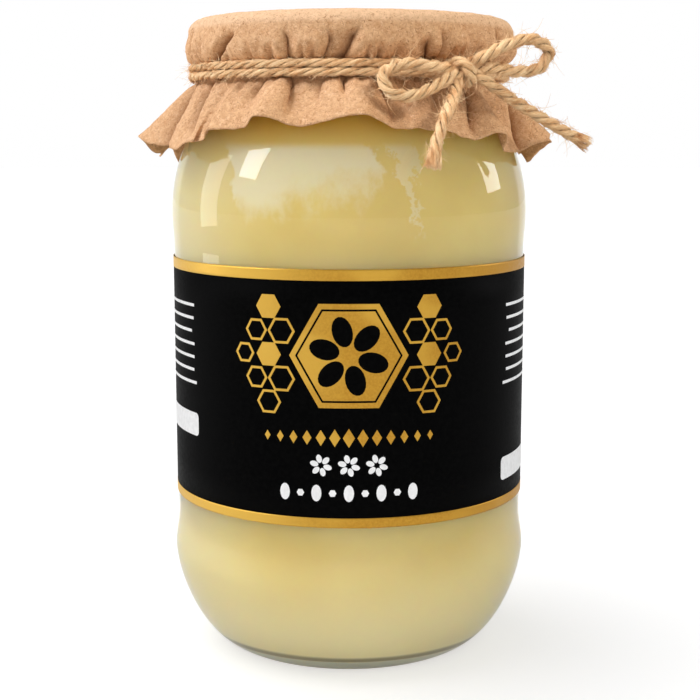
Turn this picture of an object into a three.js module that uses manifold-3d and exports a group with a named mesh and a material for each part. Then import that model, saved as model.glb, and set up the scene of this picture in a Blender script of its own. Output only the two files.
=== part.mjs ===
// Honey jar: a filled glass jar with a wrap label, a paper cover over its closed mouth and a twine bow.
// Millimetres, +Z up, origin at the middle of the foot, the front faces -Y.
import * as THREE from "three";
import { mergeVertices } from "three/addons/utils/BufferGeometryUtils.js";
import Module from "manifold-3d";

const wasm = await Module();
wasm.setup();

// Driving dimensions
const ROUND_SEGMENTS = 48;
const GLASS = {
  footInner: 29,
  footOuter: 35,
  pushUp: 2.6,
  lowBulgeRadius: 50.4,
  lowBulgeZ: 27.5,
  heelPower: 1.6,
  panelRadius: 49.4,
  panelBottom: 38,
  panelTop: 112,
  highBulgeRadius: 49.9,
  highBulgeZ: 122.5,
  shoulderArc: 46,
  neckRadius: 40.2,
  rimZ: 171.3,
  lip: 0.9,
  wall: 2.8,
  floorZ: 5.2,
  floorRadius: 33,
};
const HONEY = { gap: 0.3, levelZ: 161 };
const LABEL = { bottom: 43, height: 67, thickness: 0.2, gap: 0.1, segmentsCovered: 46 };
const PAPER = {
  columns: 112,
  topZ: 175,
  shoulderRadius: 44.9,
  edgeRound: 4.2,
  drumRadius: 45.9,
  drumZ: 167,
  tuck: 1.8,
  tieRadius: 41.7,
  tieTop: 162.2,
  tieBottom: 157.3,
  edgeRadius: 56,
  edgeZ: 143.7,
  thickness: 0.7,
  socketGap: 0.4,
  pleatDepth: 1.1,
};
const TWINE = { diameter: 2.8, wrapRadius: 43.5, wrapZ: [158.9, 161.3], sides: 6, wrapSegments: 48 };

// The knot sits on the wraps, to the right of the front. Each strand is a list of offsets from it.
const KNOT = new THREE.Vector3(29.3, -37.5, 159.8);
const STRANDS = {
  shortTail: [
    [0.4, -0.6, 0.2], [-1.8, -3.4, -2.6], [-3.6, -9.4, -7.4], [-6.2, -16.2, -12.6], [-7.9, -18.2, -17.6],
    [-8.9, -18.4, -22.8],
  ],
  rightLoop: [
    [0.6, 0.2, 1.0], [4.6, -1.0, 3.4], [10.6, -0.2, 6.4], [17.2, 1.6, 8.0], [21.8, 4.0, 5.2],
    [19.8, 4.6, 1.2], [14.0, 2.8, 0.0], [7.2, 0.8, 0.8], [0.8, 0.4, 0.2],
  ],
  leftLoop: [
    [-0.6, -0.8, 0.8], [-4.0, -3.4, 1.4], [-9.2, -6.6, 1.4], [-15.6, -9.4, 1.6], [-21.0, -11.6, -1.4],
    [-19.4, -12.4, -5.4], [-15.0, -11.6, -6.6], [-8.8, -8.8, -4.6], [-3.0, -4.4, -1.2], [0.2, -0.6, -0.2],
  ],
  longTail: [
    [0.2, -0.4, -0.2], [3.6, -0.8, -1.4], [8.6, 0.8, -4.6], [13.2, 2.6, -7.4], [18.0, 4.8, -10.2],
    [26.2, 8.6, -14.6], [33.4, 12.0, -18.2],
  ],
  overWrap: [
    [-3.0, 0.6, 1.4], [-2.2, -2.6, 2.8], [0.6, -4.2, 2.2], [2.6, -3.4, -0.6], [2.4, -1.2, -3.0], [0.6, 1.0, -2.8],
  ],
};
const KNOT_CORE = [3.0, 2.6, 2.6];

// Ruffle folds on the front, crests and hollows in turn: azimuth in degrees (0 faces -Y, positive towards +X)
// and how far the free edge stands off its mean cone there.
const FRONT_FOLDS = [
  [-95, 4.3], [-75, -7.0], [-60, -3.4], [-52, -2.4], [-45, -3.6], [-40, 0.2], [-29, -0.2], [-23, 3.6], [-13, -0.7],
  [3, 3.1], [13, -1.2], [26, -1.3], [36, -3.5], [45, 0.0], [54, -6.0], [67, 3.4], [81, -8.0],
];
const BACK_FOLDS = { from: 96, to: 251, count: 14, crest: 3.4, hollow: -3.8 };

// Pleats on the drum's side: azimuth at the top, lean towards the tie in degrees.
const FRONT_PLEATS = [[-45, -5], [-20, 3], [-6, -3], [4, -4], [23, 6], [33, 0], [56, -2]];
const BACK_PLEATS = { from: 74, to: 297, count: 11, lean: 4 };
const PLEAT_HALF_WIDTH = 4;

// Geometry helpers
function turned(profile, segments) {
  const geometry = new THREE.LatheGeometry(profile, segments);
  return geometry.rotateX(Math.PI / 2);
}

function solidOf(geometry) {
  const bare = geometry.clone();
  for (const name of Object.keys(bare.attributes)) {
    if (name !== "position") bare.deleteAttribute(name);
  }
  const joined = mergeVertices(bare, 1e-3);
  return new wasm.Manifold(new wasm.Mesh({
    numProp: 3,
    vertProperties: joined.attributes.position.array,
    triVerts: new Uint32Array(joined.index.array),
  }));
}

function geometryOf(solid) {
  const mesh = solid.getMesh();
  const geometry = new THREE.BufferGeometry();
  geometry.setAttribute("position", new THREE.BufferAttribute(mesh.vertProperties, 3));
  geometry.setIndex(new THREE.BufferAttribute(mesh.triVerts, 1));
  return geometry;
}

function part(name, geometry, finish) {
  const mesh = new THREE.Mesh(geometry, new THREE.MeshStandardMaterial({ metalness: 0, ...finish }));
  mesh.name = name;
  return mesh;
}

// Half a wave from one value to another, level at both ends
function eased(from, to, share) {
  return from + (to - from) * (1 - Math.cos(Math.PI * share)) / 2;
}

// A rounded heel from a flat foot up to an upright wall
function heel(footRadius, footZ, topRadius, topZ, steps) {
  const points = [];
  const power = 2 / GLASS.heelPower;
  for (let i = 0; i <= steps; i += 1) {
    const angle = (Math.PI / 2) * (i / steps);
    points.push(new THREE.Vector2(
      footRadius + (topRadius - footRadius) * Math.sin(angle) ** power,
      footZ + (topZ - footZ) * (1 - Math.max(Math.cos(angle), 0) ** power),
    ));
  }
  return points;
}

// The jar's side from the low bulge to the neck, moved inwards by an inset
function side(inset, bulgeSteps, shoulderSteps) {
  const points = [];
  for (let i = 1; i <= bulgeSteps; i += 1) {
    const share = i / bulgeSteps;
    points.push(new THREE.Vector2(
      eased(GLASS.lowBulgeRadius, GLASS.panelRadius, share) - inset,
      GLASS.lowBulgeZ + (GLASS.panelBottom - GLASS.lowBulgeZ) * share,
    ));
  }
  for (let i = 0; i <= bulgeSteps; i += 1) {
    const share = i / bulgeSteps;
    points.push(new THREE.Vector2(
      eased(GLASS.panelRadius, GLASS.highBulgeRadius, share) - inset,
      GLASS.panelTop + (GLASS.highBulgeZ - GLASS.panelTop) * share,
    ));
  }
  const drop = GLASS.highBulgeRadius - GLASS.neckRadius;
  const sweep = Math.acos(1 - drop / GLASS.shoulderArc);
  for (let i = 1; i <= shoulderSteps; i += 1) {
    const angle = sweep * (i / shoulderSteps);
    points.push(new THREE.Vector2(
      GLASS.highBulgeRadius - GLASS.shoulderArc * (1 - Math.cos(angle)) - inset,
      GLASS.highBulgeZ + GLASS.shoulderArc * Math.sin(angle),
    ));
  }
  return points;
}

function innerSide(gap) {
  const inset = GLASS.wall + gap;
  const lower = heel(GLASS.floorRadius - gap, GLASS.floorZ + gap, GLASS.lowBulgeRadius - inset, GLASS.lowBulgeZ, 4);
  return [...lower, ...side(inset, 2, 3)];
}

function jarGeometry() {
  const outer = [...heel(GLASS.footOuter, 0, GLASS.lowBulgeRadius, GLASS.lowBulgeZ, 7), ...side(0, 3, 5)];
  const lip = GLASS.lip;
  const neckInner = GLASS.neckRadius - GLASS.wall;
  const profile = [
    new THREE.Vector2(0, GLASS.pushUp),
    new THREE.Vector2(GLASS.footInner * 0.7, GLASS.pushUp * 0.8),
    new THREE.Vector2(GLASS.footInner, 0),
    ...outer,
    new THREE.Vector2(GLASS.neckRadius, GLASS.rimZ - lip),
    new THREE.Vector2(GLASS.neckRadius - lip, GLASS.rimZ),
    new THREE.Vector2(neckInner + lip, GLASS.rimZ),
    new THREE.Vector2(neckInner, GLASS.rimZ - lip),
    ...innerSide(0).reverse(),
    new THREE.Vector2(0, GLASS.floorZ),
  ];
  return turned(profile, ROUND_SEGMENTS);
}

function honeyGeometry() {
  const wall = innerSide(HONEY.gap);
  const neck = wall[wall.length - 1].x;
  const profile = [
    new THREE.Vector2(0, GLASS.floorZ + HONEY.gap),
    ...wall,
    new THREE.Vector2(neck, HONEY.levelZ),
    new THREE.Vector2(0, HONEY.levelZ),
  ];
  return turned(profile, ROUND_SEGMENTS);
}

// The label goes almost all the way round and leaves a narrow gap at the back
function labelGeometry() {
  const inner = GLASS.panelRadius + LABEL.gap;
  const outer = inner + LABEL.thickness;
  const step = (2 * Math.PI) / ROUND_SEGMENTS;
  const start = Math.PI / 2 + ((ROUND_SEGMENTS - LABEL.segmentsCovered) / 2) * step;
  const end = start + LABEL.segmentsCovered * step;
  const shape = new THREE.Shape();
  shape.absarc(0, 0, outer, start, end, false);
  shape.absarc(0, 0, inner, end, start, true);
  const geometry = new THREE.ExtrudeGeometry(shape, {
    depth: LABEL.height,
    bevelEnabled: false,
    curveSegments: LABEL.segmentsCovered / 2,
  });
  return geometry.translate(0, 0, LABEL.bottom);
}

// Evenly spread values with a steady small unevenness, for the folds that the front list does not name
function spread({ from, to, count }, index) {
  const pitch = (to - from) / (count - 1);
  return from + pitch * (index + 0.22 * Math.sin(2.4 * index + 1));
}

function apart(a, b) {
  return THREE.MathUtils.euclideanModulo(a - b + 180, 360) - 180;
}

const folds = [...FRONT_FOLDS];
for (let i = 0; i < BACK_FOLDS.count; i += 1) {
  const stand = i % 2 === 0 ? BACK_FOLDS.crest : BACK_FOLDS.hollow;
  folds.push([spread(BACK_FOLDS, i), stand * (1 + 0.25 * Math.sin(1.7 * i))]);
}
folds.push([folds[0][0] + 360, folds[0][1]]);

const pleatLines = [...FRONT_PLEATS];
for (let i = 0; i < BACK_PLEATS.count; i += 1) {
  pleatLines.push([spread(BACK_PLEATS, i), BACK_PLEATS.lean * Math.sin(2.1 * i)]);
}

// How far the ruffle's free edge stands off its mean cone at an azimuth
function foldLift(azimuth) {
  const turn = THREE.MathUtils.euclideanModulo(azimuth - folds[0][0], 360) + folds[0][0];
  const next = folds.findIndex(([at]) => at > turn);
  const [from, low] = folds[next - 1];
  const [to, high] = folds[next];
  return eased(low, high, (turn - from) / (to - from));
}

function pleatDip(azimuth, down) {
  let dip = 0;
  for (const [top, lean] of pleatLines) {
    const offset = apart(azimuth, top + lean * down) / PLEAT_HALF_WIDTH;
    dip = Math.max(dip, Math.exp(-offset * offset));
  }
  return dip * PAPER.pleatDepth * Math.sin(Math.PI * Math.min(down * 0.7 + 0.1, 1));
}

// The free edge hangs a little lower at the sides than at the front
function edgeSway(azimuth) {
  const angle = THREE.MathUtils.degToRad(azimuth);
  return 1.2 * Math.cos(angle) + 1.8 * Math.cos(2 * angle);
}

// Stations of the paper from the middle of its top, down the outside to the free edge, and back up inside.
// Each has a radius and height, its share of the pleats' way down the drum, and its share of the ruffle.
function paperStations() {
  const stations = [{ r: 0, z: PAPER.topZ }];
  const arcSteps = 3;
  for (let i = 0; i <= arcSteps; i += 1) {
    const angle = (Math.PI / 2) * (i / arcSteps);
    stations.push({
      r: PAPER.shoulderRadius - PAPER.edgeRound * (1 - Math.sin(angle)),
      z: PAPER.topZ - PAPER.edgeRound * (1 - Math.cos(angle)),
      pleat: 0.2 * (i / arcSteps),
    });
  }
  const tuckTop = (PAPER.drumZ + PAPER.tieTop) / 2;
  stations.push({ r: PAPER.drumRadius, z: PAPER.drumZ, pleat: 0.6 });
  stations.push({ r: PAPER.drumRadius - PAPER.tuck / 3, z: tuckTop, pleat: 0.9 });
  stations.push({ r: PAPER.tieRadius + PAPER.tuck, z: PAPER.tieTop + PAPER.tuck / 2, pleat: 1 });
  stations.push({ r: PAPER.tieRadius, z: PAPER.tieTop });
  const flare = [];
  const flareSteps = 5;
  for (let i = 0; i <= flareSteps; i += 1) {
    const share = i / flareSteps;
    flare.push({
      r: PAPER.tieRadius + (PAPER.edgeRadius - PAPER.tieRadius) * share,
      z: PAPER.tieBottom + (PAPER.edgeZ - PAPER.tieBottom) * share ** 1.15,
      ruffle: share,
    });
  }
  const inset = PAPER.thickness * Math.SQRT1_2;
  const inside = flare.map(({ r, z, ruffle }) => ({ r: r - inset, z: z - inset, ruffle }));
  const socket = GLASS.neckRadius + PAPER.socketGap;
  return [
    ...stations,
    ...flare,
    ...inside.reverse(),
    { r: socket, z: PAPER.tieBottom - 1.4 },
    { r: socket, z: GLASS.rimZ + PAPER.socketGap },
    { r: 0, z: GLASS.rimZ + PAPER.socketGap },
  ];
}

function paperGeometry() {
  const stations = paperStations();
  const profile = stations.map((station) => new THREE.Vector2(station.r, station.z)).reverse();
  const geometry = new THREE.LatheGeometry(profile, PAPER.columns);
  const position = geometry.attributes.position;
  const lean = Math.SQRT1_2;
  for (let column = 0; column <= PAPER.columns; column += 1) {
    const azimuth = (360 * column) / PAPER.columns;
    const angle = THREE.MathUtils.degToRad(azimuth);
    for (let row = 0; row < stations.length; row += 1) {
      const { r, z, pleat = 0, ruffle = 0 } = stations[stations.length - 1 - row];
      const lift = foldLift(azimuth) * ruffle * lean;
      const radius = r + lift - (pleat > 0 ? pleatDip(azimuth, pleat) : 0);
      const height = z + lift + edgeSway(azimuth) * ruffle;
      position.setXYZ(column * stations.length + row, radius * Math.sin(angle), height, radius * Math.cos(angle));
    }
  }
  return geometry.rotateX(Math.PI / 2);
}

function tube(points, steps) {
  const path = new THREE.CatmullRomCurve3(points, false, "centripetal");
  const section = new THREE.Shape();
  for (let i = 0; i < TWINE.sides; i += 1) {
    const angle = (2 * Math.PI * i) / TWINE.sides;
    const x = (TWINE.diameter / 2) * Math.cos(angle);
    const y = (TWINE.diameter / 2) * Math.sin(angle);
    if (i === 0) section.moveTo(x, y);
    else section.lineTo(x, y);
  }
  section.closePath();
  return new THREE.ExtrudeGeometry(section, { steps, extrudePath: path, bevelEnabled: false });
}

// One length of twine: two wraps round the neck, two loops, two tails and the strand over the knot
function twineGeometry() {
  const pieces = TWINE.wrapZ.map((z) => {
    const wrap = new THREE.TorusGeometry(TWINE.wrapRadius, TWINE.diameter / 2, TWINE.sides, TWINE.wrapSegments);
    return solidOf(wrap.translate(0, 0, z));
  });
  for (const [name, offsets] of Object.entries(STRANDS)) {
    const points = offsets.map(([x, y, z]) => new THREE.Vector3(x, y, z).add(KNOT));
    pieces.push(solidOf(tube(points, name.endsWith("Loop") ? 18 : 9)));
  }
  const core = new THREE.SphereGeometry(1, 10, 8).scale(...KNOT_CORE);
  pieces.push(solidOf(core.translate(KNOT.x, KNOT.y, KNOT.z)));
  return geometryOf(wasm.Manifold.union(pieces));
}

const jar = new THREE.Group();
jar.name = "honey_jar";
jar.add(part("jar", jarGeometry(), { color: 0xe8efe6, roughness: 0.05, transparent: true, opacity: 0.3 }));
jar.add(part("honey", honeyGeometry(), { color: 0xdcc27c, roughness: 0.5 }));
jar.add(part("label", labelGeometry(), { color: 0x141414, roughness: 0.35 }));
jar.add(part("paper_cover", paperGeometry(), { color: 0xdcb188, roughness: 0.9 }));
jar.add(part("twine", twineGeometry(), { color: 0xcea379, roughness: 0.95 }));

export default jar;
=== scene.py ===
import math
import random

import bpy
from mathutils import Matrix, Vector, noise


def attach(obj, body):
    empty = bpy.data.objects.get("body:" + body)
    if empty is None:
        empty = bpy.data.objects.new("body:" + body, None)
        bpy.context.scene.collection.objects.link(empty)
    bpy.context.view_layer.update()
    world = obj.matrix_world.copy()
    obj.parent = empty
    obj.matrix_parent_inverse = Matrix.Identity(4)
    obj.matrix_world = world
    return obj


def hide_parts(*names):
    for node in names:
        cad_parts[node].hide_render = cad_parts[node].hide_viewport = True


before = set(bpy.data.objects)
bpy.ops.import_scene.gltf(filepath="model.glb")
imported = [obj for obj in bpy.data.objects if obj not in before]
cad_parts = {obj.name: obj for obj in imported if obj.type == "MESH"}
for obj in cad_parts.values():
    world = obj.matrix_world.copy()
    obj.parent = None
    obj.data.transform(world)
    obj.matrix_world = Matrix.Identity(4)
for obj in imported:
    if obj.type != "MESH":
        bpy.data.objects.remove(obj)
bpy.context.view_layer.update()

# Sizes in millimetres, beside counts, shares and angles in degrees. The glass has the sizes of the part's own
# source; the label, the paper and the twine are fitted more closely.
MM = 0.001
BODY = "root"
GLASS = dict(
    foot_inner=29, foot_outer=35, push_up=2.6, low_bulge_radius=50.4, low_bulge_z=27.5, heel_power=1.6,
    panel_radius=49.4, panel_bottom=38, panel_top=112, high_bulge_radius=49.9, high_bulge_z=122.5,
    shoulder_arc=46, neck_radius=40.2, rim_z=171.3, lip=0.9, wall=2.8, floor_z=5.2, floor_radius=33,
)
GLASS_STEPS = 160
PROFILE_STEPS = 10
FOOT_EDGE = 0.6
PUSH_UP = dict(steps=8, power=0.6)
LIP_STEPS = 6
SMOOTH_DEG = 40
MERGE = 0.01
HONEY = dict(reach=0.5, level_z=161, climb=0.8, climb_width=1, climb_foot=0.1)
LABEL = dict(
    bottom=43.7, height=66.8, radius=49.72, thickness=0.2, gap_deg=15, steps=150, rows=6, band_top=2.9,
    band_low=2.6, foil_over=0.12, foil_thickness=0.06, ink_thickness=0.04, strip=1.4,
)
# How far the layers of the print stand off the label
LIFT = dict(foil=0.05, ink=0.09, heart=0.13)
EMBLEM_Z = 88.5
POINT_UP = 30
PLAQUE = dict(radius=15.4, line_inset=1.6, line=0.5, blossom=10.4, petals=6, heart=2.3)
PETAL = dict(first_deg=45, out=0.62, radius=0.38, slim=0.66)
CELLS = dict(radius=4.1, start=17.6, full=0.92, fade=0.14, line=0.62)
LOZENGES = dict(each_side=6, pitch=3.6, z=67.4, tall=2.5, drop=0.2, slim=0.62)
ROSES = dict(each_side=1, pitch=7.2, z=60.2, reach=2.9, petals=6)
BEADS = dict(each_side=4, pitch=4.2, z=52.9, small=1.0, large=2.2, slim=0.6)
SIDE_LINES = dict(
    count=7, top=98.5, pitch=3.5, height=0.8, inner=46, outer=72, reach=(4, 13), left=0.35, right=0.5,
)
SIDE_BOXES = [((-73, 63.3), (-47.3, 69.6)), ((48.6, 50.8), (73, 57.2))]
BOX_CORNER = 1.3
PAPER = dict(
    top_z=175, shoulder_radius=45.1, edge_round=4.0, drum_radius=46.0, drum_z=166.5, tie_radius=41.7,
    tie_top=162.2, tie_bottom=158.3, edge_radius=56, edge_z=143.7, thickness=0.3, columns=540,
    tie_give=0.8, tie_overlap=0.3, free_height=0.8, aside_height=4, turn=(38, 44),
)
PAPER_ROWS = dict(top=12, edge=9, tie=6, ruffle=30, side_step=0.6)
EDGE_WAY = 0.2
# Fine creasing of the paper: its size, its depth and where its pattern starts
CRINKLES = [(6.5, 0.28, 0), (2.6, 0.1, 40)]
# Under the wraps the paper is pulled smooth
TIED = dict(share=0.85, z=159.8, half=1.9)
RUFFLE = dict(bulge=0.3, droop=1.15, sway=1.2, second_sway=1.8)
TWINE = dict(diameter=2.8, wrap_radius=43.5, wrap_z=(161.6, 159.4), step=0.6, sides=16)
WRAP = dict(thick=2.1, pitch=11.5)
BOW = dict(thick=3.0, pitch=11)
PLY = dict(out=0.245, radius=0.255)
PLIES = 3
# Room that each ply has across the strand's UV map
STRAND_ROOM = 20
UNEVEN = dict(ply=0.12, fibre=0.17)
# The twine is tight on the wraps' circle, and loose off it and near the knot: the distances over which it
# turns loose off the circle, and tight away from the knot
LOOSE = dict(off_wrap=(0.5, 2.0), off_knot=(6, 14))
BRUSH = dict(length=5.5, opening=1.55, fibres=170, slimmer=0.6, radius=(0.08, 0.17))
HAIR_SIDES = 3
HAIRS = dict(count=2600, radius=(0.04, 0.075), on_tails=0.4, short_tail=160, long_tail=220, steps=6)
FIBRES = dict(count=2200, radius=(0.05, 0.1))
KNOT = Vector((29.3, -37.5, 159.8))
KNOT_AZIMUTH = 38

# The camera stands level with the jar's shoulder and looks slightly down
CAMERA = dict(place=(0.28, -395, 143.5), down_deg=8.78, lens=71.23, sensor=36)

# Strands of the bow as offsets from the knot: the points of the part's own source, some of them moved by
# up to 1.4 mm
SHORT_TAIL = [
    (0.4, -0.6, 0.2), (-1.8, -3.4, -2.6), (-3.6, -9.4, -7.4), (-6.2, -16.2, -12.6), (-7.9, -18.2, -17.6),
    (-9.0, -18.5, -23.8),
]
RIGHT_LOOP = [
    (0.6, 0.2, 1.0), (4.6, -1.0, 3.4), (10.6, -0.2, 6.4), (17.2, 1.6, 8.0), (21.8, 4.0, 5.2),
    (19.8, 4.6, 1.2), (14.0, 2.8, 0.0), (7.2, 0.8, 0.8), (0.8, 0.4, 0.2),
]
LEFT_LOOP = [
    (-0.6, -0.8, 0.2), (-4.0, -3.4, 0.2), (-9.2, -6.6, 0.7), (-15.6, -9.4, 1.4), (-21.0, -11.6, -1.4),
    (-19.4, -12.4, -5.4), (-15.0, -11.6, -6.6), (-8.8, -8.8, -4.6), (-3.0, -4.4, -1.2), (0.2, -0.6, -0.2),
]
LONG_TAIL = [
    (0.2, -0.4, -0.2), (3.6, -0.8, -1.4), (8.6, 0.8, -4.6), (13.2, 2.6, -7.4), (18.0, 4.8, -10.2),
    (26.2, 8.6, -14.6), (33.4, 12.0, -18.2),
]
OVER_WRAP = [
    (-2.8, 0.4, 1.0), (-2.4, -2.6, 1.9), (-0.4, -4.2, 1.5), (1.2, -3.6, -0.7), (1.4, -1.4, -2.6),
    (0.2, 0.8, -2.6),
]

# Folds of the paper, crests and hollows in turn: azimuth in degrees from the front and stand in millimetres
EDGE_FOLDS = [
    (-95, 4.3), (-75, -7.0), (-60, -3.4), (-52, -2.4), (-45, -3.6), (-40, 0.2), (-29, -0.2), (-23, 3.6),
    (-13, -0.7), (3, 3.1), (13, -1.2), (26, -1.3), (36, -3.5), (45, 0.0), (54, -6.0), (67, 3.4), (81, -8.0),
]
BACK_FOLDS = dict(start=96, end=251, count=14, crest=3.4, hollow=-3.8)
# Creases: azimuth at the upper and lower end, width of the slope on either side, depth, and where along the
# way down it starts and has gone. The paper of a slope 1 wide folds over the crease.
DRUM_CREASES = [
    (-84, -88, 3, 2, 1.6, 0.05, 9), (-71, -72, 2, 2.5, 2.2, 0.05, 9), (-60, -63, 3, 2, 1.4, 0.2, 9),
    (-52, -55, 2.5, 2, 0.8, 0.4, 9), (-39.5, -54, 5.5, 1, 4.4, 0.18, 9), (-30, -32, 4, 5, 0.6, 0.3, 9),
    (-22, -21.5, 1, 6, 2.2, 0.18, 9), (-6.4, -9.8, 1, 6, 2.4, 0.2, 9), (2.9, -1.8, 9, 1, 3.0, 0.16, 9),
    (12, 13, 3, 3, 0.5, 0.3, 9), (24, 29, 7, 1, 3.4, 0.3, 9), (30.6, 30.5, 1, 5, 2.4, 0.14, 9),
    (43, 42, 3, 3, 0.7, 0.15, 9), (58.5, 57.5, 1, 3.2, 3.6, 0.08, 9), (69, 70, 1, 2.6, 3.0, 0.05, 9),
    (78, 76, 3, 2, 1.8, 0.1, 9),
]
DRUM_BACK = dict(start=90, end=262, count=13, lean=5, narrow=1, wide=4.5, depth=2.4, first=0.12, last=9)
RUFFLE_CREASES = [
    (-92, -92, 4, 3, 1.4, -0.3, 0.9), (-80, -75, 9, 1, 4.6, -0.3, 1.5), (-59, -52, 8, 1, 4.0, -0.3, 1.0),
    (-47, -48, 3, 3, 0.9, -0.3, 0.7), (-38.5, -35, 2.5, 2, 2.6, -0.3, 0.5),
    (-29.5, -31.5, 4, 1, 2.0, -0.3, 0.8), (-20, -17, 1, 7, 2.4, -0.3, 1.0),
    (-8, -9, 7, 1, 1.8, -0.3, 0.8), (-1, -0.8, 2.6, 1, 2.6, -0.3, 0.75),
    (8.7, 11.5, 1, 8, 2.6, -0.3, 1.1), (19, 17, 4, 2, 1.6, -0.3, 0.8), (27, 26, 1, 6, 2.0, -0.3, 0.9),
    (43, 37, 1, 4.5, 3.0, -0.3, 1.1), (66, 58, 1, 6, 3.4, -0.3, 1.2), (77, 74, 4, 2, 1.8, -0.3, 0.9),
]
# Small puckers beside the tie, above and below it: azimuth, width and depth
DRUM_PUCKERS = [
    (-76, 2.5, 2.0), (-66, 2, 1.7), (-46, 2, 1.6), (-35, 2, 1.5), (-27, 2.5, 1.9), (-16, 2, 1.6),
    (-12.5, 2, 2.0), (6, 2, 1.7), (9.5, 2, 2.0), (15.5, 2.5, 1.7), (36, 2, 2.1), (39.5, 2, 1.7),
    (47, 2.5, 2.3), (52, 2, 2.0), (71, 2.5, 2.4), (84, 2.5, 2.2),
]
RUFFLE_PUCKERS = [
    (-66, 2.5, 1.4), (-54, 2, 1.2), (-43, 2, 1.5), (-34, 2, 1.6), (-25, 2.2, 1.4), (-13, 2, 1.3), (4, 2, 1.6),
    (14, 2, 1.3), (23, 2.2, 1.4), (33, 2, 1.8), (50, 2.5, 1.8), (58, 2, 1.4), (71, 2.5, 1.6),
]
DRUM_PUCKER_START = 0.4
RUFFLE_PUCKER_GONE = 0.45
RUFFLE_BACK = dict(start=79, end=266, count=19, lean=4, narrow=1, wide=6, depth=2.4, first=-0.3, last=1.1)
LIP = dict(slope=1, width=2.4, over=1.5)
# Shares of the way down over which a crease comes in and goes out, and its ends where it runs on at the tie
CREASE_ENDS = dict(come=0.25, go=0.6, from_tie=-0.3, past_tie=9)
# Where the cut edge leaves its folds: azimuth, further out, higher up and the width of the stretch in degrees
EDGE_BENDS = [
    (-119, 0, -8.5, 6), (-112.5, 0, 4.5, 2.2), (-109, 6, -1.5, 5), (-100, 0.5, -2.8, 3.5),
    (-92, 1.1, -1.1, 9), (-76, 0, 5.5, 7), (-57, 0, -1.2, 5), (67, 0, -3.0, 7),
]
# Where it curls sideways: azimuth, turn and width in degrees
EDGE_CURLS = [(-50, 2.2, 2.2), (-46.5, -2.6, 2.0), (53, -2.0, 2.2), (57, 2.4, 2.2)]
FRONT_TUCK = dict(depth=5, full=30, none=62)
DRUM_ASIDE = 0.55
# How the drum draws in to the tie: shares of the way inwards and of the height that is left
DRUM_TAPER = [(0.05, 0.8), (0.17, 0.52), (0.34, 0.3), (0.6, 0.12)]
EDGE_RAGGED = 0.55


# Small helpers

def mm(*xyz):
    return Vector(xyz) * MM


def around(radius, azimuth, z):
    """A point in millimetres on a circle round the jar; azimuth 0 is the front and 90 the right."""
    angle = math.radians(azimuth)
    return Vector((radius * math.sin(angle), -radius * math.cos(angle), z))


def eased(low, high, share):
    return low + (high - low) * (1 - math.cos(math.pi * share)) / 2


def ramp(low, high, value):
    share = min(max((value - low) / (high - low), 0), 1)
    return share * share * (3 - 2 * share)


def deselect():
    if bpy.context.object and bpy.context.object.mode != "OBJECT":
        bpy.ops.object.mode_set(mode="OBJECT")
    bpy.ops.object.select_all(action="DESELECT")


def use_only(piece):
    deselect()
    piece.select_set(True)
    bpy.context.view_layer.objects.active = piece


def apply_modifier(piece, kind, **values):
    use_only(piece)
    modifier = piece.modifiers.new(kind.title(), kind)
    for key, value in values.items():
        setattr(modifier, key, value)
    bpy.ops.object.modifier_apply(modifier=modifier.name)


def finish_piece(piece, material, node=None):
    """Gives a piece its finish and place in the frame."""
    piece.data.materials.clear()
    piece.data.materials.append(material)
    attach(piece, BODY)
    if node:
        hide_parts(node)
    return piece


def mesh_piece(name, points, faces):
    mesh = bpy.data.meshes.new(name)
    mesh.from_pydata([tuple(p * MM) for p in points], [], faces)
    piece = bpy.data.objects.new(name, mesh)
    bpy.context.scene.collection.objects.link(piece)
    mesh.polygons.foreach_set("use_smooth", [True] * len(faces))
    return piece


# Turned pieces: a profile is drawn vertex by vertex and spun round the jar's axis

def draw_profile(name, points):
    deselect()
    bpy.ops.mesh.primitive_plane_add(size=MM)
    piece = bpy.context.object
    piece.name = name
    piece.data.name = name
    bpy.ops.object.mode_set(mode="EDIT")
    bpy.ops.mesh.select_all(action="SELECT")
    bpy.ops.mesh.merge(type="CENTER")
    bpy.ops.transform.translate(value=points[0] * MM)
    for here, there in zip(points, points[1:]):
        bpy.ops.mesh.extrude_vertices_move(TRANSFORM_OT_translate={"value": (there - here) * MM})
    return piece


def spin_profile(name, points, steps, degrees=360):
    piece = draw_profile(name, points)
    bpy.ops.mesh.select_all(action="SELECT")
    bpy.ops.mesh.spin(steps=steps, angle=math.radians(degrees), center=(0, 0, 0), axis=(0, 0, 1))
    bpy.ops.mesh.select_all(action="SELECT")
    bpy.ops.mesh.remove_doubles(threshold=MERGE * MM)
    bpy.ops.mesh.normals_make_consistent(inside=False)
    bpy.ops.object.mode_set(mode="OBJECT")
    bpy.ops.object.shade_smooth_by_angle(angle=math.radians(SMOOTH_DEG))
    return piece


def heel(foot_radius, foot_z, top_radius, top_z, steps):
    power = 2 / GLASS["heel_power"]
    points = []
    for i in range(steps + 1):
        angle = math.pi / 2 * i / steps
        out = math.sin(angle) ** power
        up = 1 - max(math.cos(angle), 0) ** power
        points.append((foot_radius + (top_radius - foot_radius) * out, foot_z + (top_z - foot_z) * up))
    return points


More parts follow.
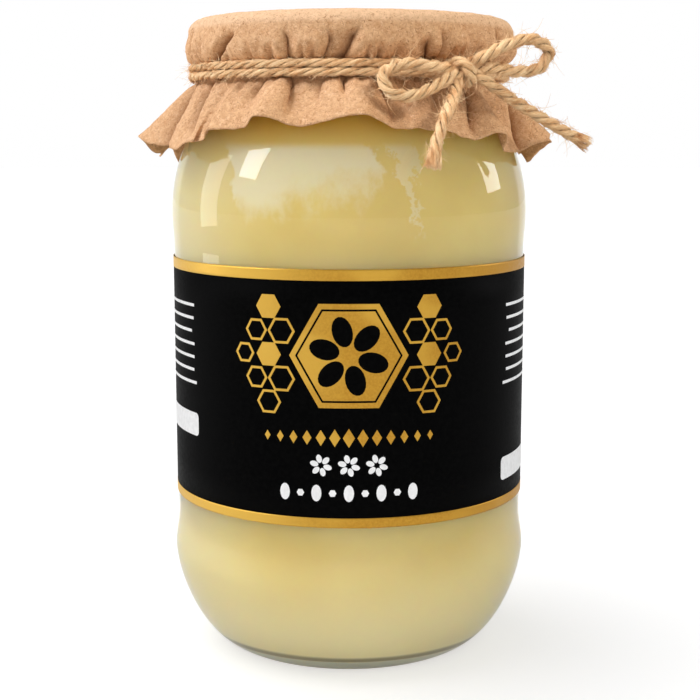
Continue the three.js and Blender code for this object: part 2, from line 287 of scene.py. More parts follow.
def jar_side(inset, steps):
    """Radius and height up the jar's side, from the low bulge to the neck."""
    g = GLASS
    points = []
    for i in range(1, steps + 1):
        radius = eased(g["low_bulge_radius"], g["panel_radius"], i / steps)
        z = g["low_bulge_z"] + (g["panel_bottom"] - g["low_bulge_z"]) * i / steps
        points.append((radius - inset, z))
    for i in range(steps + 1):
        radius = eased(g["panel_radius"], g["high_bulge_radius"], i / steps)
        z = g["panel_top"] + (g["high_bulge_z"] - g["panel_top"]) * i / steps
        points.append((radius - inset, z))
    drop = g["high_bulge_radius"] - g["neck_radius"]
    sweep = math.acos(1 - drop / g["shoulder_arc"])
    for i in range(1, 2 * steps + 1):
        angle = sweep * i / (2 * steps)
        radius = g["high_bulge_radius"] - g["shoulder_arc"] * (1 - math.cos(angle))
        points.append((radius - inset, g["high_bulge_z"] + g["shoulder_arc"] * math.sin(angle)))
    return points


def inner_side(reach):
    g = GLASS
    inset = g["wall"] - reach
    floor = (g["floor_radius"] + reach, g["floor_z"] - reach)
    bulge = (g["low_bulge_radius"] - inset, g["low_bulge_z"])
    return heel(*floor, *bulge, PROFILE_STEPS) + jar_side(inset, PROFILE_STEPS)


def profile_points(pairs):
    return [Vector((radius, 0, z)) for radius, z in pairs]


def jar_foot():
    """Radius and height under the jar, from the raised middle to the bearing ring."""
    g = GLASS
    under = []
    for i in range(PUSH_UP["steps"]):
        rise = math.cos(math.pi / 2 * i / PUSH_UP["steps"]) ** PUSH_UP["power"]
        under.append((g["foot_inner"] * i / PUSH_UP["steps"], g["push_up"] * rise))
    return under + [(g["foot_inner"], 0), (g["foot_inner"] + FOOT_EDGE, 0), (g["foot_outer"] - FOOT_EDGE, 0)]


def jar_lip():
    g = GLASS
    half = g["wall"] / 2
    middle = g["neck_radius"] - half
    points = []
    for i in range(LIP_STEPS + 1):
        angle = math.pi * i / LIP_STEPS
        z = g["rim_z"] - g["lip"] + g["lip"] * math.sin(angle)
        points.append((middle + half * math.cos(angle), z))
    return points


def make_jar():
    g = GLASS
    low = heel(g["foot_outer"], 0, g["low_bulge_radius"], g["low_bulge_z"], 2 * PROFILE_STEPS)
    outer = low + jar_side(0, PROFILE_STEPS)
    inner = list(reversed(inner_side(0)))
    floor = [((g["neck_radius"] - g["wall"]) / 2, g["floor_z"]), (0, g["floor_z"])]
    pairs = jar_foot() + outer + jar_lip() + inner + floor
    piece = spin_profile("glass_jar", profile_points(pairs), GLASS_STEPS)
    return finish_piece(piece, glass_material(), "jar")


def make_honey():
    h = HONEY
    wall = inner_side(h["reach"])
    neck = wall[-1][0]
    floor_z = wall[0][1]
    level = h["level_z"]
    floor = [(0, floor_z), (wall[0][0] * 0.5, floor_z)]
    climb = [(neck, level + h["climb"]), (neck - h["climb_width"], level + h["climb_foot"])]
    pairs = floor + wall + climb + [(neck * 0.6, level), (0, level)]
    piece = spin_profile("honey_fill", profile_points(pairs), GLASS_STEPS)
    return finish_piece(piece, honey_material(), "honey")


# Label and its print

def band_sheet(name, radius, low, high, thickness, material):
    start = 180 + LABEL["gap_deg"] / 2
    rows = LABEL["rows"]
    points = [around(radius, start, low + (high - low) * i / rows) for i in range(rows + 1)]
    piece = spin_profile(name, points, LABEL["steps"], 360 - LABEL["gap_deg"])
    face_outwards(piece)
    apply_modifier(piece, "SOLIDIFY", thickness=thickness * MM, offset=-1)
    return finish_piece(piece, material)


def face_outwards(piece):
    """Turns an open sheet round the jar so that its faces point away from the axis."""
    face = piece.data.polygons[0]
    if face.normal.dot(Vector((face.center.x, face.center.y, 0))) < 0:
        use_only(piece)
        bpy.ops.object.mode_set(mode="EDIT")
        bpy.ops.mesh.select_all(action="SELECT")
        bpy.ops.mesh.flip_normals()
        bpy.ops.object.mode_set(mode="OBJECT")


def make_label():
    low = LABEL["bottom"]
    high = low + LABEL["height"]
    over = LABEL["foil_over"]
    black = label_black_material()
    sheet = band_sheet("label_sheet", LABEL["radius"], low + over, high - over, LABEL["thickness"], black)
    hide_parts("label")
    foil = LABEL["radius"] + LIFT["foil"]
    thin = LABEL["foil_thickness"]
    gold = gold_material()
    band_sheet("gold_band_top", foil, high - LABEL["band_top"], high, thin, gold)
    band_sheet("gold_band_low", foil, low, low + LABEL["band_low"], thin, gold)
    return gold


def flat_shape(sides, radius, place, turn=0, scale=(1, 1)):
    """A flat polygon on the label's front, place and size along the label and up it."""
    deselect()
    bpy.ops.mesh.primitive_circle_add(
        vertices=sides, radius=radius * MM, fill_type="NGON", rotation=(math.pi / 2, 0, 0),
    )
    piece = bpy.context.object
    bpy.ops.object.transform_apply(location=False, rotation=True, scale=False)
    piece.scale = (scale[0], 1, scale[1])
    bpy.ops.object.transform_apply(location=False, rotation=False, scale=True)
    piece.rotation_euler = (0, math.radians(turn), 0)
    piece.location = mm(place[0], 0, place[1])
    bpy.ops.object.transform_apply(location=True, rotation=True, scale=True)
    return piece


def hollow_out(piece, width):
    use_only(piece)
    bpy.ops.object.mode_set(mode="EDIT")
    bpy.ops.mesh.select_all(action="SELECT")
    bpy.ops.mesh.inset(thickness=width * MM)
    bpy.ops.mesh.delete(type="FACE")
    bpy.ops.object.mode_set(mode="OBJECT")
    return piece


def flat_bar(low, high, corner=0):
    """A flat bar from one corner to the other, with rounded corners if asked."""
    deselect()
    bpy.ops.mesh.primitive_plane_add(size=MM, rotation=(math.pi / 2, 0, 0))
    piece = bpy.context.object
    bpy.ops.object.transform_apply(location=False, rotation=True, scale=False)
    piece.scale = (high[0] - low[0], 1, high[1] - low[1])
    piece.location = mm((low[0] + high[0]) / 2, 0, (low[1] + high[1]) / 2)
    bpy.ops.object.transform_apply(location=True, rotation=False, scale=True)
    if corner:
        bpy.ops.object.mode_set(mode="EDIT")
        bpy.ops.mesh.select_all(action="SELECT")
        bpy.ops.mesh.bevel(offset=corner * MM, segments=6, affect="VERTICES")
        bpy.ops.object.mode_set(mode="OBJECT")
    return piece


def blossom(place, reach, petals):
    """A flower of round petals that nearly meet in the middle."""
    shapes = []
    for i in range(petals):
        turn = PETAL["first_deg"] + 360 * i / petals
        angle = math.radians(turn)
        out = reach * PETAL["out"]
        spot = (place[0] + out * math.cos(angle), place[1] + out * math.sin(angle))
        shapes.append(flat_shape(20, reach * PETAL["radius"], spot, -turn, (1, PETAL["slim"])))
    return shapes


def wrap_on_label(name, shapes, lift, material):
    """Joins flat shapes, cuts them into narrow strips and lays them round the label."""
    deselect()
    for shape in shapes:
        shape.select_set(True)
    bpy.context.view_layer.objects.active = shapes[0]
    if len(shapes) > 1:
        bpy.ops.object.join()
    piece = bpy.context.object
    piece.name = name
    piece.data.name = name
    across = [v.co.x / MM for v in piece.data.vertices]
    strip = LABEL["strip"]
    bpy.ops.object.mode_set(mode="EDIT")
    for i in range(math.ceil(min(across) / strip), math.floor(max(across) / strip) + 1):
        bpy.ops.mesh.select_all(action="SELECT")
        bpy.ops.mesh.bisect(plane_co=(i * strip * MM, 0, 0), plane_no=(1, 0, 0))
    bpy.ops.object.mode_set(mode="OBJECT")
    radius = LABEL["radius"] + lift
    for vertex in piece.data.vertices:
        turn = math.degrees(vertex.co.x / MM / LABEL["radius"])
        vertex.co = around(radius, turn, vertex.co.z / MM) * MM
    use_only(piece)
    bpy.ops.object.mode_set(mode="EDIT")
    bpy.ops.mesh.select_all(action="SELECT")
    bpy.ops.mesh.normals_make_consistent(inside=False)
    bpy.ops.object.mode_set(mode="OBJECT")
    flip_inward_faces(piece)
    apply_modifier(piece, "SOLIDIFY", thickness=LABEL["ink_thickness"] * MM, offset=-1)
    return finish_piece(piece, material)


def flip_inward_faces(piece):
    use_only(piece)
    for face in piece.data.polygons:
        face.select = face.normal.dot(Vector((face.center.x, face.center.y, 0))) < 0
    bpy.ops.object.mode_set(mode="EDIT")
    bpy.ops.mesh.flip_normals()
    bpy.ops.object.mode_set(mode="OBJECT")


def make_print(gold):
    p = PLAQUE
    middle = (0, EMBLEM_Z)
    plaque = [flat_shape(6, p["radius"], middle, POINT_UP)]
    wrap_on_label("gold_plaque", plaque, LIFT["foil"], gold)
    frame_line = hollow_out(flat_shape(6, p["radius"] - p["line_inset"], middle, POINT_UP), p["line"])
    ink = [frame_line] + blossom(middle, p["blossom"], p["petals"])
    wrap_on_label("plaque_ink", ink, LIFT["ink"], label_black_material())
    heart = [flat_shape(24, p["heart"], middle)]
    wrap_on_label("gold_heart", heart, LIFT["heart"], gold)
    wrap_on_label("gold_cells", honeycomb_sides() + lozenge_row(), LIFT["foil"], gold)
    white = white_ink_material()
    wrap_on_label("white_ornament", ornament_rows(), LIFT["foil"], white)
    wrap_on_label("white_boxes", side_boxes(), LIFT["foil"], white)


def honeycomb_sides():
    """Cells beside the plaque, smaller the further out they are; two on either side are filled."""
    shapes = []
    across = CELLS["radius"] * math.sqrt(3)
    up = CELLS["radius"] * 1.5
    filled = [(0.5, 0), (0.5, 2)]
    spots = [(0, -1), (0, 1), (0.5, 0), (1, 1), (1, -1), (1.5, 0), (0.5, 2), (0.5, -2)]
    for side in (-1, 1):
        for step, row in spots:
            place = (side * (CELLS["start"] + step * across), EMBLEM_Z + row * up)
            size = CELLS["radius"] * (CELLS["full"] - CELLS["fade"] * step)
            cell = flat_shape(6, size, place, POINT_UP)
            shapes.append(cell if (step, row) in filled else hollow_out(cell, CELLS["line"]))
    return shapes


def lozenge_row():
    """A row of gold lozenges, the tallest in the middle."""
    row = LOZENGES
    shapes = []
    for step in range(-row["each_side"], row["each_side"] + 1):
        tall = row["tall"] - row["drop"] * abs(step)
        shapes.append(flat_shape(4, tall, (row["pitch"] * step, row["z"]), 0, (row["slim"], 1)))
    return shapes


def ornament_rows():
    """A row of small flowers over a row of upright beads with small hexagons between them."""
    shapes = []
    for step in range(-ROSES["each_side"], ROSES["each_side"] + 1):
        shapes += blossom((ROSES["pitch"] * step, ROSES["z"]), ROSES["reach"], ROSES["petals"])
    for step in range(-BEADS["each_side"], BEADS["each_side"] + 1):
        place = (BEADS["pitch"] * step, BEADS["z"])
        if step % 2:
            shapes.append(flat_shape(6, BEADS["small"], place, POINT_UP))
        else:
            shapes.append(flat_shape(16, BEADS["large"], place, 0, (BEADS["slim"], 1)))
    return shapes


def side_boxes():
    """A box and ragged lines of print towards either side of the label."""
    s = SIDE_LINES
    shapes = [flat_bar(low, high, BOX_CORNER) for low, high in SIDE_BOXES]
    draw = random.Random(11)
    for row in range(s["count"]):
        low = s["top"] - s["pitch"] * row
        high = low + s["height"]
        reach = draw.uniform(*s["reach"])
        shapes.append(flat_bar((-s["outer"], low), (-s["inner"] - reach * s["left"], high)))
        shapes.append(flat_bar((s["inner"] + reach * s["right"], low), (s["outer"], high)))
    return shapes


# Paper cover: one gathered sheet

def spread(rule, index):
    pitch = (rule["end"] - rule["start"]) / (rule["count"] - 1)
    return rule["start"] + pitch * (index + 0.22 * math.sin(2.4 * index + 1))


def apart(a, b):
    return (a - b + 180) % 360 - 180


def all_edge_folds():
    folds = list(EDGE_FOLDS)
    for i in range(BACK_FOLDS["count"]):
        stand = BACK_FOLDS["crest"] if i % 2 == 0 else BACK_FOLDS["hollow"]
        folds.append((spread(BACK_FOLDS, i), stand * (1 + 0.25 * math.sin(1.7 * i))))
    return folds


def fold_stand(folds, azimuth):
    first = folds[0][0]
    turn = (azimuth - first) % 360 + first
    before = folds[-1]
    after = (first + 360, folds[0][1])
    for here, there in zip(folds, folds[1:]):
        if here[0] <= turn < there[0]:
            before, after = here, there
            break
    share = (turn - before[0]) / (after[0] - before[0])
    soft = eased(before[1], after[1], share)
    rise = share if after[1] > before[1] else 1 - share
    low, high = sorted((before[1], after[1]))
    return soft, low + (high - low) * math.sin(math.pi / 2 * rise)


def with_back(creases, rule):
    """The creases seen in front and uneven ones that a rule spreads over the back."""
    every = list(creases)
    for i in range(rule["count"]):
        top = spread(rule, i)
        slopes = (rule["narrow"], rule["wide"]) if i % 3 else (rule["wide"], rule["narrow"])
        depth = rule["depth"] * (1 + 0.35 * math.sin(2.7 * i))
        bottom = top + rule["lean"] * math.sin(2.1 * i)
        every.append((top, bottom, *slopes, depth, rule["first"], rule["last"]))
    return every


def crease_shape(creases, azimuth, way):
    """How far the creases pull the paper in, and how far the paper of a narrow slope folds over sideways."""
    dip = 0
    shift = 0
    for top, bottom, left, right, depth, start, gone in creases:
        away = apart(azimuth, top + (bottom - top) * ramp(0, 1, way))
        width = right if away > 0 else left
        folded = width == LIP["slope"]
        if folded:
            width = LIP["width"]
        share = abs(away) / width
        coming = ramp(start, start + CREASE_ENDS["come"], way)
        here = coming * (1 - ramp(gone - CREASE_ENDS["go"], gone, way))
        deep = depth * (1 - share) ** 1.1 * here if share < 1 else 0
        if deep > dip:
            dip = deep
            over = LIP["over"] * math.sin(math.pi * share ** 0.7) * here if folded else 0
            shift = -over if away > 0 else over
    return dip, shift


def edge_sway(azimuth):
    angle = math.radians(azimuth)
    return RUFFLE["sway"] * math.cos(angle) + RUFFLE["second_sway"] * math.cos(2 * angle)


def edge_bend(azimuth):
    """How far out and up, and how far sideways, the cut edge leaves its folds."""
    out = 0
    up = 0
    for middle, further, higher, width in EDGE_BENDS:
        near = math.exp(-(apart(azimuth, middle) / width) ** 2)
        out += further * near
        up += higher * near
    curl = sum(turn * math.exp(-(apart(azimuth, middle) / width) ** 2) for middle, turn, width in EDGE_CURLS)
    return out, up, curl


def front_tuck(azimuth):
    """The ruffle hangs closer to the glass in front than at the sides."""
    away = abs(apart(azimuth, 0))
    return FRONT_TUCK["depth"] * (1 - ramp(FRONT_TUCK["full"], FRONT_TUCK["none"], away))


def drum_profile():
    """Radius and height down the drum's side, from the edge of the top to the tie."""
    p = PAPER
    bend = [(p["shoulder_radius"], p["top_z"] - p["edge_round"]), (p["drum_radius"], p["drum_z"])]
    for inwards, upwards in DRUM_TAPER:
        radius = p["drum_radius"] - (p["drum_radius"] - p["tie_radius"]) * inwards
        bend.append((radius, p["tie_top"] + (p["drum_z"] - p["tie_top"]) * upwards))
    bend.append((p["tie_radius"], p["tie_top"] - p["tie_overlap"]))
    return smooth_route(profile_points(bend), PAPER_ROWS["side_step"])


def paper_rows():
    """Radius, height, way down the drum's pleats and way down the ruffle, from the middle to the edge."""
    p = PAPER
    count = PAPER_ROWS
    flat = p["shoulder_radius"] - p["edge_round"]
    rows = [(flat * i / count["top"], p["top_z"], 0, 0) for i in range(1, count["top"])]
    for i in range(count["edge"] + 1):
        angle = math.pi / 2 * i / count["edge"]
        radius = flat + p["edge_round"] * math.sin(angle)
        z = p["top_z"] - p["edge_round"] * (1 - math.cos(angle))
        rows.append((radius, z, EDGE_WAY * i / count["edge"], 0))
    side = drum_profile()
    for i, spot in enumerate(side[1:]):
        rows.append((spot.x, spot.z, EDGE_WAY + (1 - EDGE_WAY) * i / len(side), 0))
    for i in range(1, count["tie"] + 1):
        z = eased(p["tie_top"] - p["tie_overlap"], p["tie_bottom"], i / count["tie"])
        rows.append((p["tie_radius"], z, 1, 0))
    for i in range(1, count["ruffle"] + 1):
        share = i / count["ruffle"]
        radius = p["tie_radius"] + (p["edge_radius"] - p["tie_radius"]) * share
        z = p["tie_bottom"] + (p["edge_z"] - p["tie_bottom"]) * share ** RUFFLE["droop"]
        rows.append((radius, z, 1, share))
    return rows


def crinkle(spot, size):
    """Fine uneven creasing of the paper, about one either way."""
    at = spot / size
    return noise.noise(at) * 0.7 + (abs(noise.noise(at * 2.1 + Vector((7, 3, 5)))) - 0.25) * 1.1


def ruffle_point(row, azimuth, edge, crease):
    """Where the ruffle's folds, creases and cut edge take a point: radius, azimuth and height."""
    radius, z, _, share = row
    dip, shift = crease
    soft, sharp, out, up, curl, _ = edge
    bulge = RUFFLE["bulge"] * ramp(0, 0.2, share) * (1 - share)
    fold = sharp + (soft - sharp) * share
    lift = (fold * share ** 0.7 + bulge - dip * ramp(-0.05, 0.2, share)) * math.sqrt(0.5)
    ragged = EDGE_RAGGED * noise.noise(Vector((azimuth * 0.3, 3, 7))) * share ** 4
    z += lift + (up + edge_sway(azimuth)) * share + ragged
    turned = azimuth + shift * ramp(0, 0.15, share) + curl * share ** 3
    return radius + (lift + out * share), turned, z


def paper_point(row, azimuth, edge, crease):
    radius, z, down, share = row
    dip, shift = crease
    top = PAPER["tie_top"]
    tuck = 0
    if share > 0:
        radius, azimuth, z = ruffle_point(row, azimuth, edge, crease)
        tuck = edge[-1] * share
    elif down > 0:
        free = ramp(top, top + PAPER["free_height"], z)
        radius -= dip * free
        azimuth += shift * free
    if down > 0:
        radius = max(radius, PAPER["tie_radius"] - PAPER["tie_give"])
    aside = DRUM_ASIDE * ramp(top, top + PAPER["aside_height"], z)
    spot = around(radius, azimuth, z) + Vector((aside, tuck, 0))
    tied = 1 - TIED["share"] * math.exp(-((z - TIED["z"]) / TIED["half"]) ** 2)
    rough = sum(crinkle(spot + Vector((from_x, 0, 0)), size) * depth for size, depth, from_x in CRINKLES)
    upright = Vector((0, 0, 1))
    out = Vector((spot.x, spot.y, 0)).normalized() if radius > 1 else upright
    slope = ramp(*PAPER["turn"], radius)
    return spot + (out * slope + upright * (1 - slope)) * rough * tied


def all_creases():
    """The creases and puckers of the drum and of the ruffle."""
    start, end = CREASE_ENDS["from_tie"], CREASE_ENDS["past_tie"]
    drum = with_back(DRUM_CREASES, DRUM_BACK)
    drum += [(at, at, wide, wide, deep, DRUM_PUCKER_START, end) for at, wide, deep in DRUM_PUCKERS]
    ruffle = with_back(RUFFLE_CREASES, RUFFLE_BACK)
    ruffle += [(at, at, wide, wide, deep, start, RUFFLE_PUCKER_GONE) for at, wide, deep in RUFFLE_PUCKERS]
    return drum, ruffle


def paper_faces(columns, count):
    """Triangles round the middle point and squares between neighbouring columns of points."""
    faces = []
    for column in range(columns):
        here = 1 + column * count
        there = 1 + (column + 1) % columns * count
        faces.append((0, here, there))
        for row in range(count - 1):
            faces.append((here + row, here + row + 1, there + row + 1, there + row))
    return faces


def make_paper():
    rows = paper_rows()
    columns = PAPER["columns"]
    edge_folds = all_edge_folds()
    drum, ruffle = all_creases()
    points = [Vector((DRUM_ASIDE, 0, PAPER["top_z"]))]
    depths = [0]
    for column in range(columns):
        azimuth = 360 * column / columns
        edge = (*fold_stand(edge_folds, azimuth), *edge_bend(azimuth), front_tuck(azimuth))
        for row in rows:
            _, _, down, share = row
            crease = crease_shape(ruffle, azimuth, share) if share else crease_shape(drum, azimuth, down)
            points.append(paper_point(row, azimuth, edge, crease))
            depths.append(crease[0])
    piece = mesh_piece("paper_cover_sheet", points, paper_faces(columns, len(rows)))
    # The creases' depths are kept for the painted shade in the paper's finish
    piece.data.attributes.new("crease_depth", "FLOAT", "POINT").data.foreach_set("value", depths)
    apply_modifier(piece, "SOLIDIFY", thickness=PAPER["thickness"] * MM, offset=-1)
    finish_piece(piece, paper_material(), "paper_cover")
    return piece


# Twine: one length, two wraps and a bow

def smooth_route(points, step):
    """A centripetal curve through the points, cut into even steps."""
    ends = [points[0] * 2 - points[1]] + list(points) + [points[-1] * 2 - points[-2]]
    dense = []
    for a, b, c, d in zip(ends, ends[1:], ends[2:], ends[3:]):
        t1 = (b - a).length ** 0.5
        t2 = t1 + (c - b).length ** 0.5
        t3 = t2 + (d - c).length ** 0.5
        for i in range(24):
            t = t1 + (t2 - t1) * i / 24
            ab = a.lerp(b, t / t1)
            bc = b.lerp(c, (t - t1) / (t2 - t1))
            cd = c.lerp(d, (t - t2) / (t3 - t2))
            low = ab.lerp(bc, t / t2)
            high = bc.lerp(cd, (t - t1) / (t3 - t1))
            dense.append(low.lerp(high, (t - t1) / (t2 - t1)))
    dense.append(points[-1])
    return even_steps(dense, step)


def even_steps(dense, step):
    total = route_length(dense)
    count = max(round(total / step), 2)
    pace = total / count
    route = [dense[0]]
    run = 0
    for a, b in zip(dense, dense[1:]):
        span = (b - a).length
        while span > 0 and run + span >= pace * len(route) and len(route) < count:
            route.append(a.lerp(b, (pace * len(route) - run) / span))
        run += span
    route.append(dense[-1])
    return route


def twine_route():
    turns = []
    for i in range(49):
        azimuth = KNOT_AZIMUTH + 15 * i
        share = ramp(KNOT_AZIMUTH + 345, KNOT_AZIMUTH + 375, azimuth)
        z = TWINE["wrap_z"][0] + (TWINE["wrap_z"][1] - TWINE["wrap_z"][0]) * share
        turns.append(around(TWINE["wrap_radius"], azimuth, z))
    parts = (SHORT_TAIL, RIGHT_LOOP, OVER_WRAP, LEFT_LOOP, LONG_TAIL)
    tail, right, over, left, end = [[KNOT + Vector(offset) for offset in part] for part in parts]
    return smooth_route(tail[::-1] + right + turns + over + left + end[1:], TWINE["step"])


def route_frames(route):
    """Direction, and two directions across it that turn with it as little as possible, at each point."""
    frames = []
    across = None
    for i in range(len(route)):
        along = (route[min(i + 1, len(route) - 1)] - route[max(i - 1, 0)]).normalized()
        if across is None:
            across = along.orthogonal()
        across = (across - along * across.dot(along)).normalized()
        frames.append((along, across, along.cross(across)))
    return frames


def route_length(route):
    return sum((b - a).length for a, b in zip(route, route[1:]))


def twine_build(route):
    """Thickness, turn and slimness of the plies at each point: the wraps are thin, the cut ends fan open."""
    whole = route_length(route)
    build = []
    turn = 0
    run = 0
    for spot in route:
        off_wrap = abs(math.hypot(spot.x, spot.y) - TWINE["wrap_radius"])
        off_knot = (spot - KNOT).length
        loose = max(ramp(*LOOSE["off_wrap"], off_wrap), 1 - ramp(*LOOSE["off_knot"], off_knot))
        thick = WRAP["thick"] + (BOW["thick"] - WRAP["thick"]) * loose
        pitch = WRAP["pitch"] + (BOW["pitch"] - WRAP["pitch"]) * loose
        frayed = 1 - ramp(0, BRUSH["length"], min(run, whole - run))
        thick *= 1 + (BRUSH["opening"] - 1) * frayed
        build.append((thick, turn, 1 - BRUSH["slimmer"] * frayed))
        turn += 2 * math.pi * TWINE["step"] / pitch
        run += TWINE["step"]
    return build


def ply_frame(spot, frame_here, build_here, ply):
    """Middle of a ply and the directions out of the twine and along its surface."""
    along, across, other = frame_here
    thick, turn, _ = build_here
    angle = turn + 2 * math.pi * ply / PLIES
    out = across * math.cos(angle) - other * math.sin(angle)
    return spot + out * thick * PLY["out"], out, along.cross(out)


def ply_ring(centre, out, side, reaches):
    """Points round a ply, each at its own reach."""
    ring = []
    for j, reach in enumerate(reaches):
        bearing = 2 * math.pi * j / len(reaches)
        ring.append(centre + (out * math.cos(bearing) + side * math.sin(bearing) * 1.05) * reach)
    return ring


def tube_faces(first, count, sides):
    """Squares between the rings of a tube and a lid on either end."""
    faces = []
    for i in range(count - 1):
        for j in range(sides):
            a = first + i * sides + j
            b = first + i * sides + (j + 1) % sides
            faces.append((a, b, b + sides, a + sides))
    faces.append(tuple(first + j for j in reversed(range(sides))))
    faces.append(tuple(first + (count - 1) * sides + j for j in range(sides)))
    return faces


def make_plies(route, frames, build):
    sides = TWINE["sides"]
    points = []
    faces = []
    strand = []
    for ply in range(PLIES):
        faces += tube_faces(len(points), len(route), sides)
        for i, spot in enumerate(route):
            thick, _, slim = build[i]
            uneven = 1 + UNEVEN["ply"] * noise.noise(Vector((i * 0.13, ply * 9.7, 2)))
            reaches = []
            for j in range(sides):
                fibre = 1 + UNEVEN["fibre"] * noise.noise(Vector((i * 0.06, j * 1.7, ply * 5.1)))
                reaches.append(thick * PLY["radius"] * uneven * fibre * slim)
                strand.append((i * TWINE["step"], min(j, sides - j) + ply * STRAND_ROOM))
            points += ply_ring(*ply_frame(spot, frames[i], build[i], ply), reaches)
    piece = mesh_piece("jute_twine", points, faces)
    uv = piece.data.uv_layers.new(name="strand")
    for loop in piece.data.loops:
        uv.data[loop.index].uv = strand[loop.vertex_index]
    return finish_piece(piece, twine_material(), "twine")


def make_twine():
    route = twine_route()
    frames = route_frames(route)
    build = twine_build(route)
    piece = make_plies(route, frames, build)
    loose = [make_hairs(route, frames, build), make_fibres(route, frames, build)]
    return [piece] + loose


def hair(points, faces, spots, width):
    """A thin three-sided fibre along its spots, thinner towards its tip."""
    first = len(points)
    last = len(spots) - 1
    for i, spot in enumerate(spots):
        along = (spots[min(i + 1, last)] - spots[max(i - 1, 0)]).normalized()
        across = along.orthogonal().normalized()
        other = along.cross(across)
        reach = width * (1 - 0.7 * i / last)
        for j in range(HAIR_SIDES):
            angle = 2 * math.pi * j / HAIR_SIDES
            points.append(spot + (across * math.cos(angle) + other * math.sin(angle)) * reach)
    faces.extend(tube_faces(first, len(spots), HAIR_SIDES))


def make_hairs(route, frames, build):
    """Fine hairs that stand off the twine, more of them on the bow's tails."""
    draw = random.Random(23)
    points = []
    faces = []
    count = len(route)
    for _ in range(HAIRS["count"]):
        i = draw.randrange(2, count - 2)
        if draw.random() < HAIRS["on_tails"]:
            short = draw.randrange(2, HAIRS["short_tail"])
            i = draw.choice((short, draw.randrange(count - HAIRS["long_tail"], count - 2)))
        along, across, other = frames[i]
        turn = draw.uniform(0, 2 * math.pi)
        out = across * math.cos(turn) + other * math.sin(turn)
        start = route[i] + out * build[i][0] * 0.42
        lean = along * draw.choice((-1, 1)) * draw.uniform(0.5, 1.8)
        heading = (out * draw.uniform(0.25, 1.0) + lean).normalized()
        curl = Vector((draw.gauss(0, 1), draw.gauss(0, 1), draw.gauss(0, 1))) * 0.26
        length = draw.uniform(1.2, 3.6) + draw.random() ** 6 * 5
        spots = [start]
        for _ in range(HAIRS["steps"]):
            heading = (heading + curl * draw.uniform(0.2, 1.3)).normalized()
            spots.append(spots[-1] + heading * length / HAIRS["steps"])
        hair(points, faces, spots, draw.uniform(*HAIRS["radius"]))
    piece = mesh_piece("twine_hairs", points, faces)
    return finish_piece(piece, fibre_material())


def make_fibres(route, frames, build):
    """Coarser fibres that lie along the plies and fan out of the cut ends."""
    draw = random.Random(31)
    points = []
    faces = []
    for _ in range(FIBRES["count"]):
        spots = surface_fibre(draw, route, frames, build)
        hair(points, faces, spots, draw.uniform(*FIBRES["radius"]))
    for end, sign in ((0, -1), (len(route) - 1, 1)):
        add_brush_end(draw, points, faces, route[end], frames[end], sign)
    piece = mesh_piece("twine_fibres", points, faces)
    return finish_piece(piece, fibre_material())


def surface_fibre(draw, route, frames, build):
    """A fibre that lies along a ply, slightly askew, and peels off at its ends."""
    steps = draw.randint(10, 26)
    start = draw.randrange(1, len(route) - steps - 1)
    ply = draw.randrange(PLIES)
    bearing = draw.uniform(-1.5, 1.5)
    drift = draw.gauss(0, 0.03)
    peel = draw.uniform(0.05, 0.5)
    spots = []
    for step in range(0, steps + 1, 2):
        i = start + step
        centre, out, side = ply_frame(route[i], frames[i], build[i], ply)
        angle = bearing + drift * step
        to_end = min(step, steps - step) * TWINE["step"]
        reach = build[i][0] * build[i][2] * PLY["radius"] * 1.03 + peel * math.exp(-to_end / 1.2)
        spots.append(centre + (out * math.cos(angle) + side * math.sin(angle)) * reach)
    return spots


def add_brush_end(draw, points, faces, spot, frame_here, sign):
    """Loose fibres that fan out of a cut end."""
    along, across, other = frame_here
    ahead = along * sign
    for _ in range(BRUSH["fibres"]):
        turn = draw.uniform(0, 2 * math.pi)
        share = math.sqrt(draw.random())
        out = across * math.cos(turn) + other * math.sin(turn)
        start = spot + out * share * BOW["thick"] * 0.45 - ahead * BRUSH["length"] * draw.uniform(0.6, 1)
        finish = spot + out * share * BOW["thick"] * 0.5 * BRUSH["opening"] * draw.uniform(0.9, 1.12)
        finish += ahead * draw.gauss(0.3, 0.22)
        bend = Vector((draw.gauss(0, 1), draw.gauss(0, 1), draw.gauss(0, 1))) * 0.22
        spots = [start.lerp(finish, i / 4) + bend * math.sin(math.pi * i / 4) for i in range(5)]
        hair(points, faces, spots, draw.uniform(*BRUSH["radius"]))


# Material helpers

def linear(red, green, blue):
    """A colour from display values 0 to 255."""
    shares = [channel / 255 for channel in (red, green, blue)]
    return tuple(s / 12.92 if s <= 0.04045 else ((s + 0.055) / 1.055) ** 2.4 for s in shares) + (1,)


def new_material(name):
    material = bpy.data.materials.new(name)
    material.use_nodes = True
    tree = material.node_tree
    tree.nodes.clear()
    output = tree.nodes.new("ShaderNodeOutputMaterial")
    shader = tree.nodes.new("ShaderNodeBsdfPrincipled")
    tree.links.new(shader.outputs["BSDF"], output.inputs["Surface"])
    return material, tree, shader


def set_values(node, **values):
    """Sets a node's inputs by name, with _ for a space, and its settings."""
    for key, value in values.items():
        name = key.replace("_", " ")
        if name in node.inputs:
            node.inputs[name].default_value = value
        else:
            setattr(node, key, value)
    return node


def add(tree, kind, **values):
    return set_values(tree.nodes.new(kind), **values)


def link(tree, value, socket):
    """Feeds a socket from another one, or gives it a plain number or colour."""
    if isinstance(value, bpy.types.NodeSocket):
        tree.links.new(value, socket)
    else:
        socket.default_value = value


def mix_colour(tree, factor, first, second):
    node = add(tree, "ShaderNodeMix", data_type="RGBA")
    for value, index in ((factor, 0), (first, 6), (second, 7)):
        link(tree, value, node.inputs[index])
    return node.outputs[2]


def pick(tree, mask, first, second):
    """The second value where the mask is one, else the first."""
    node = add(tree, "ShaderNodeMix", data_type="FLOAT")
    for value, index in ((mask, 0), (first, 2), (second, 3)):
        link(tree, value, node.inputs[index])
    return node.outputs[0]


